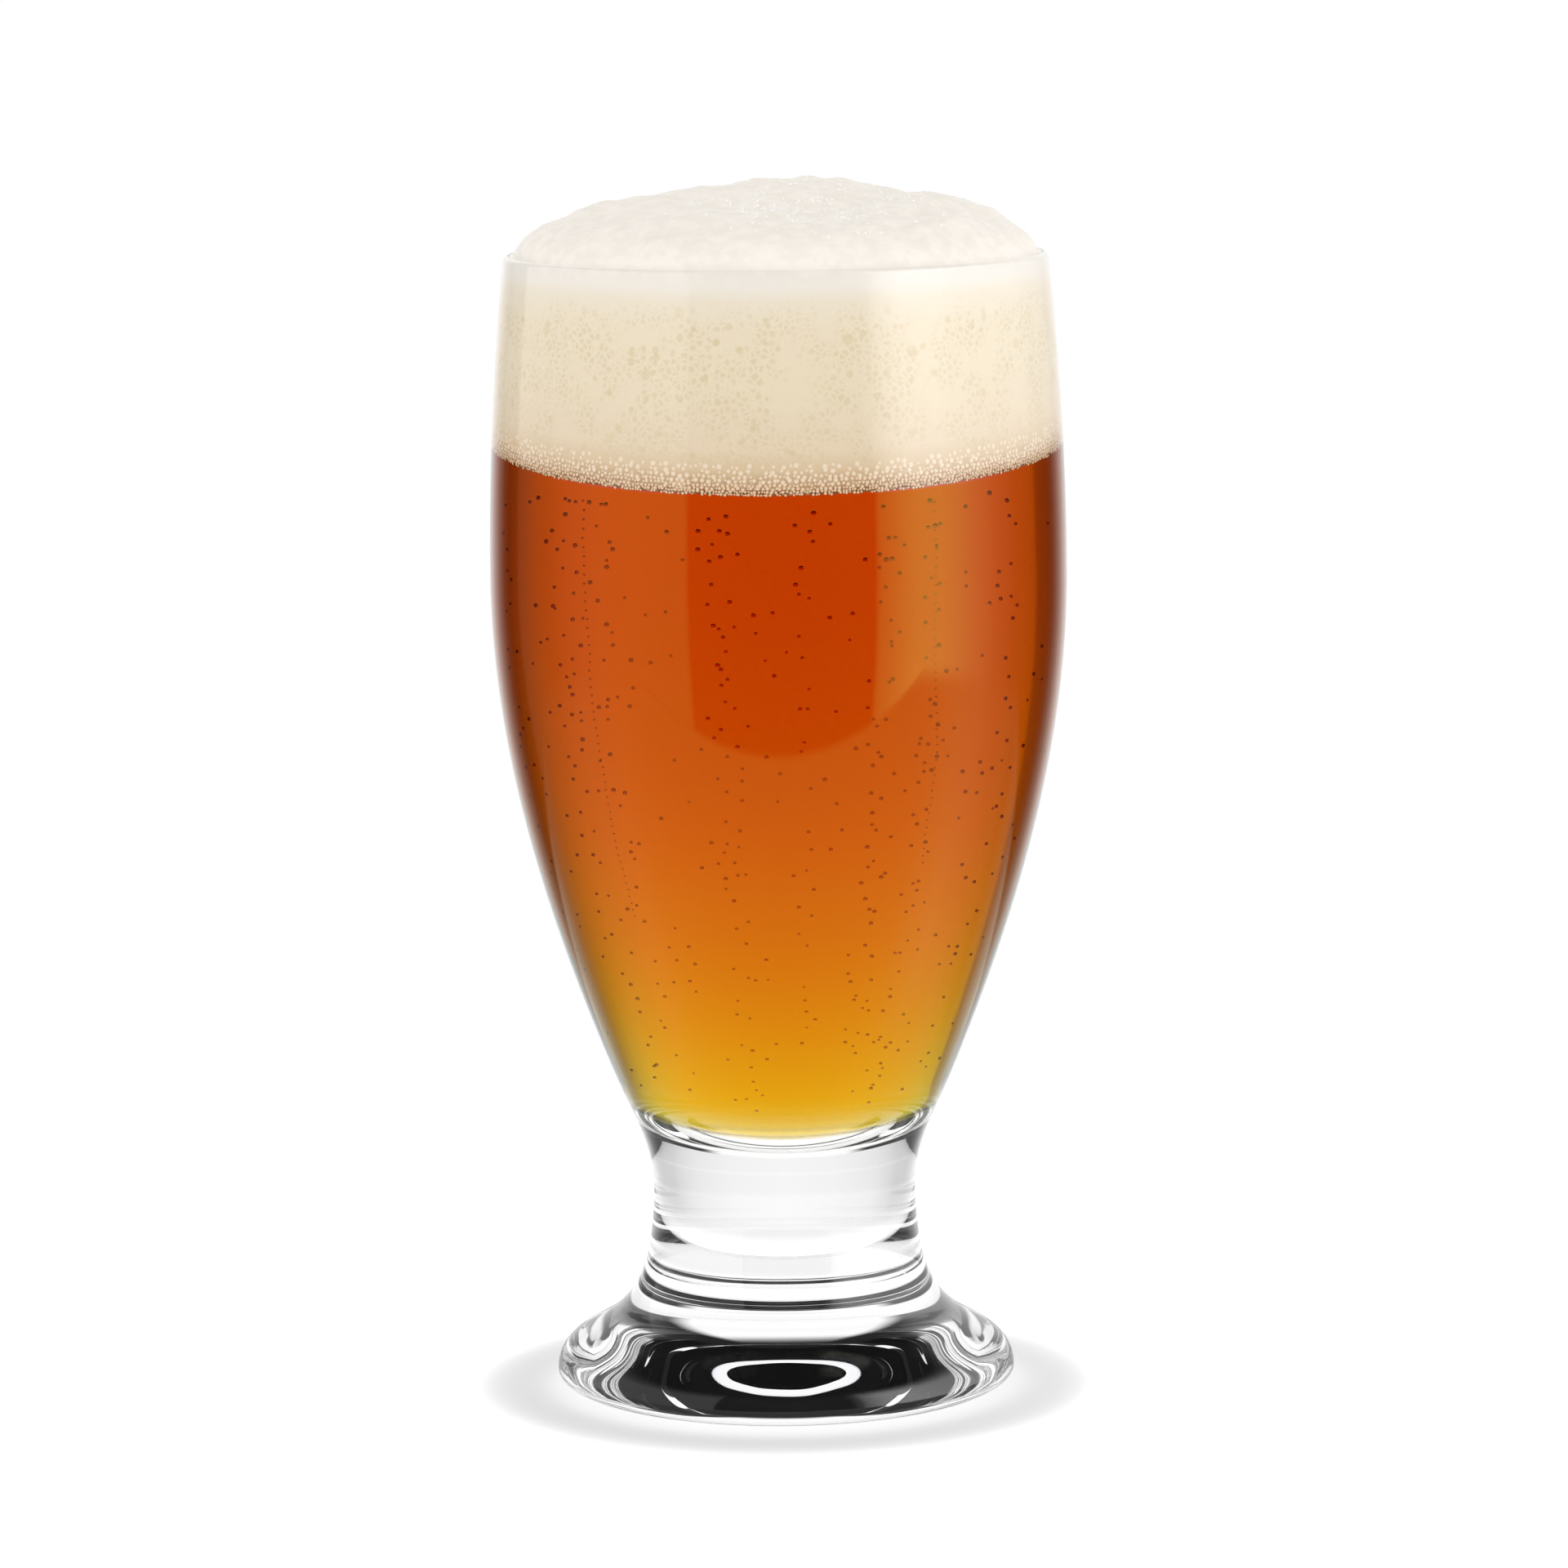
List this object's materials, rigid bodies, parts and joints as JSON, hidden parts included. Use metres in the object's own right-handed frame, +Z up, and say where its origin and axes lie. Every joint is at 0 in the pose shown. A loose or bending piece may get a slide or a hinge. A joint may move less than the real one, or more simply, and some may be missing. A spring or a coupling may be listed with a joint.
{
  "type": "ale glass",
  "caption": "Footed ale glass: tulip bowl on a thick waisted stem and a round flared foot, filled with amber ale under a domed head of foam.",
  "frame": {"origin": "centre of the foot on the surface that the glass stands on", "axes": "+Z up along the glass's axis; the glass is turned about Z, and the foam's dimple lies towards the front, -Y, and the right, +X"},
  "size_m": [0.0782, 0.0782, 0.1636],
  "materials": {
    "clear_glass": "clear, fire-polished",
    "ale": "clear amber liquid",
    "foam": "matt cream froth"
  },
  "bodies": {
    "root": {"foot": "clear_glass", "stem": "clear_glass", "bowl": "clear_glass", "ale": "ale", "foam_head": "foam"}
  },
  "joints": []
}
